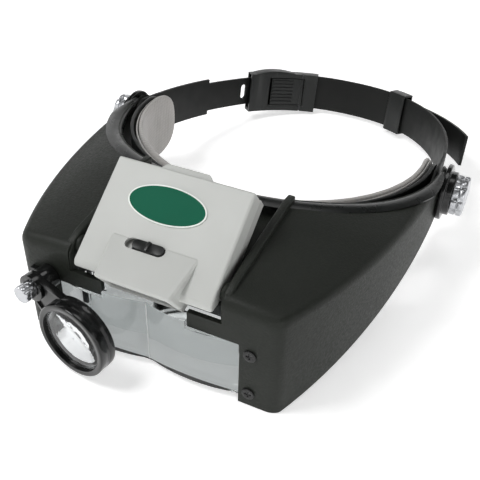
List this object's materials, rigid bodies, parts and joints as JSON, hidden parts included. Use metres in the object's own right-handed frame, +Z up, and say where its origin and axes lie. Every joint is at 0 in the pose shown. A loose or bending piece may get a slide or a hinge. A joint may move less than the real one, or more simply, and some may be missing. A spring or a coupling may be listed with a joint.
{
  "type": "head visor magnifier",
  "caption": "Headband visor with a tilting binocular lens, flip-down inner lens, swing-out loupe and tilting battery lamp.",
  "frame": {"origin": "on the resting surface, in the plane of symmetry, below the temple pivots", "axes": "+Z up, -Y towards the front lens, +X towards the right temple as seen from the front"},
  "size_m": [0.202, 0.2952, 0.0774],
  "materials": {
    "band_black": "satin black moulded plastic",
    "pad_grey": "grey cloth over foam",
    "strap_black": "satin black flexible plastic",
    "buckle_black": "semi-gloss black plastic",
    "visor_black": "fine textured black plastic",
    "washer_black": "gloss black plastic",
    "chrome": "bright chrome plate",
    "steel": "bright zinc plate",
    "screw_black": "black oxide",
    "clear": "clear optical acrylic",
    "lamp_grey": "light grey satin plastic",
    "label_green": "dark green enamel",
    "slider_black": "satin black plastic",
    "cell_jacket": "printed cell jacket",
    "board_green": "solder mask",
    "switch_grey": "moulded plastic",
    "led": "clear white epoxy",
    "reflector": "metallised plastic"
  },
  "bodies": {
    "headband": {"brow_band": "band_black", "brow_pad": "pad_grey", "strap_left": "strap_black", "strap_right": "strap_black", "buckle_body": "buckle_black", "buckle_pin": "steel", "temple_bolts": "steel", "temple_washers": "washer_black"},
    "keeper": {"strap_keeper": "buckle_black"},
    "lever": {"buckle_lever": "buckle_black"},
    "knob_left": {"temple_knob_left": "chrome"},
    "knob_right": {"temple_knob_right": "chrome"},
    "visor": {"visor_shell": "visor_black", "main_lens": "clear", "lens_screws": "screw_black", "lamp_hinge_pins": "chrome", "loupe_bracket": "visor_black", "loupe_bolt": "steel", "loupe_washer": "steel"},
    "flip_lens": {"inner_lens_carrier": "band_black", "inner_lens": "clear"},
    "loupe": {"loupe_arm": "washer_black", "loupe_lens": "clear", "loupe_retainer": "washer_black"},
    "loupe_clamp": {"loupe_knob": "chrome"},
    "lamp": {"lamp_upper_case": "lamp_grey", "lamp_lower_case": "lamp_grey", "aaa_cells": "cell_jacket", "battery_springs": "steel", "battery_plates": "steel", "circuit_board": "board_green", "switch_body": "switch_grey", "lamp_leds": "led", "lamp_reflector": "reflector", "lamp_window": "clear", "label_plate": "label_green", "case_screws": "steel"},
    "door": {"battery_door": "lamp_grey"},
    "slider": {"switch_slider": "slider_black"}
  },
  "joints": [
    {"name": "visor_tilt", "type": "hinge", "parent": "headband", "child": "visor", "pos_m": [0, 0, 0.0376], "axis": [-1, 0, 0], "range_deg": [0, 75]},
    {"name": "lamp_tilt", "type": "hinge", "parent": "visor", "child": "lamp", "pos_m": [0, -0.13, 0.0485], "axis": [1, 0, 0], "range_deg": [-20, 2]},
    {"name": "battery_door_slide", "type": "slide", "parent": "lamp", "child": "door", "axis": [0, 0.7912, 0.6115], "range_m": [0, 0.014]},
    {"name": "switch_slide", "type": "slide", "parent": "lamp", "child": "slider", "axis": [-1, 0, 0], "range_m": [0, 0.0032]},
    {"name": "inner_lens_flip", "type": "hinge", "parent": "visor", "child": "flip_lens", "pos_m": [0, -0.1242, 0.0335], "axis": [1, 0, 0], "range_deg": [0, 85]},
    {"name": "loupe_swing", "type": "hinge", "parent": "visor", "child": "loupe", "pos_m": [-0.0465, -0.1453, 0.034], "axis": [-0.1392, -0.9903, 0], "range_deg": [0, 150]},
    {"name": "loupe_knob_spin", "type": "hinge", "parent": "visor", "child": "loupe_clamp", "pos_m": [-0.0465, -0.1453, 0.034], "axis": [-0.1392, -0.9903, 0], "continuous": true},
    {"name": "temple_knob_left_spin", "type": "hinge", "parent": "headband", "child": "knob_left", "pos_m": [-0.098, 0, 0.0376], "axis": [-1, 0, 0], "continuous": true},
    {"name": "temple_knob_right_spin", "type": "hinge", "parent": "headband", "child": "knob_right", "pos_m": [0.098, 0, 0.0376], "axis": [1, 0, 0], "continuous": true},
    {"name": "buckle_lever_hinge", "type": "hinge", "parent": "headband", "child": "lever", "pos_m": [-0.03337, 0.12084, 0.01564], "axis": [0, 0.1788, 0.9839], "range_deg": [0, 25]},
    {"name": "keeper_slide", "type": "hinge", "parent": "headband", "child": "keeper", "pos_m": [0.00051, 0.06692, 0.02544], "axis": [0, 0.1788, 0.9839], "range_deg": [-2, 2.5]}
  ]
}
